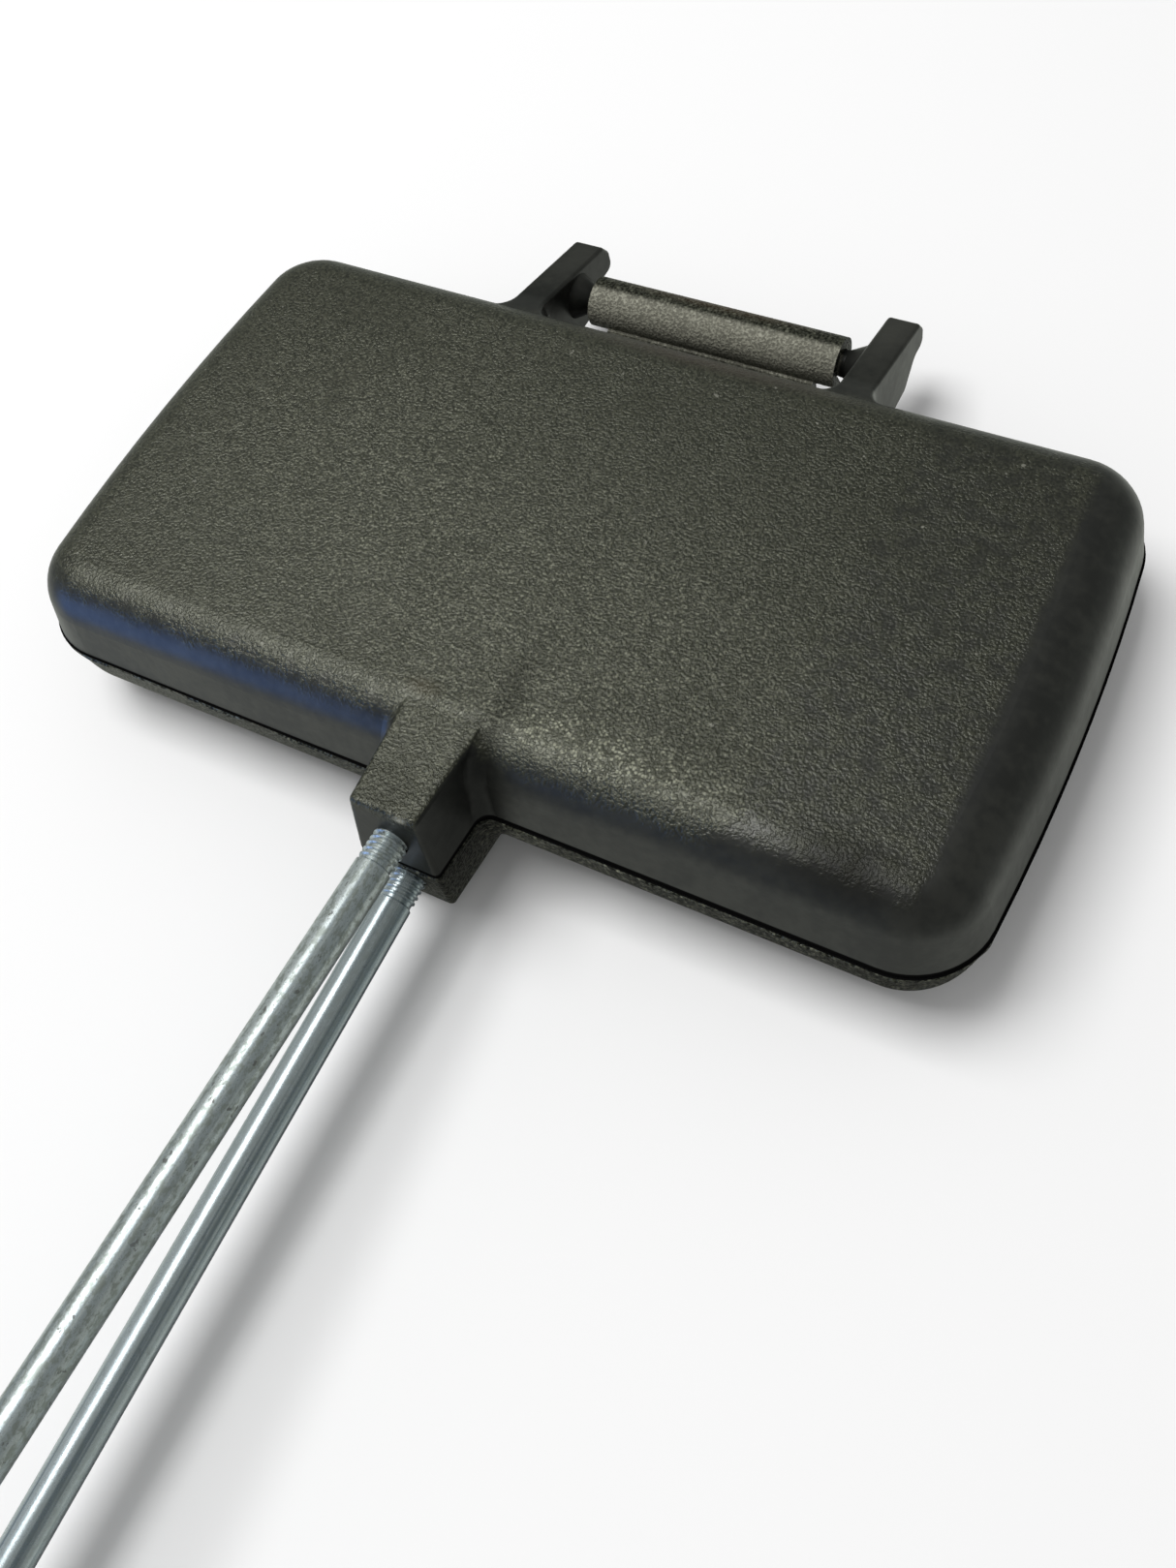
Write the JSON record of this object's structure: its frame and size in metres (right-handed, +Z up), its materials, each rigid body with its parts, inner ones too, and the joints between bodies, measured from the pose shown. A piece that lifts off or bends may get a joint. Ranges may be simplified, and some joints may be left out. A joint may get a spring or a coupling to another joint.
{
  "type": "pie iron",
  "caption": "Cast-iron pie iron: two shallow hinged pans that close rim to rim on long steel rods with turned wooden grips, for toasting filled bread over a fire.",
  "frame": {"origin": "centre of the lower pan's flat outer face, the face that lies on the coals or the grate", "axes": "+X along the pans' long side, +Y towards the hinge and away from the grips, +Z up through the closed pans, square to their flat faces"},
  "size_m": [0.2344, 0.7104, 0.09],
  "materials": {
    "cast_iron": "as cast, matt, fine sand grain, seasoned",
    "zinc_rod": "bright zinc plate, drawn bar, light pitting",
    "plated_hardware": "bright zinc plate",
    "grip_wood": "turned hardwood, thin lacquer"
  },
  "bodies": {
    "lower_half": {"lower_pan": "cast_iron", "lower_rod": "zinc_rod", "lower_ferrule": "plated_hardware", "lower_grip": "grip_wood", "lower_washer": "plated_hardware", "lower_cap_nut": "plated_hardware"},
    "upper_half": {"upper_pan": "cast_iron", "upper_rod": "zinc_rod", "upper_ferrule": "plated_hardware", "upper_grip": "grip_wood", "upper_washer": "plated_hardware", "upper_cap_nut": "plated_hardware"}
  },
  "joints": [
    {"name": "pan_hinge", "type": "hinge", "parent": "lower_half", "child": "upper_half", "pos_m": [0, 0.0786, 0.0226], "axis": [-1, 0, 0], "range_deg": [0, 120]}
  ]
}
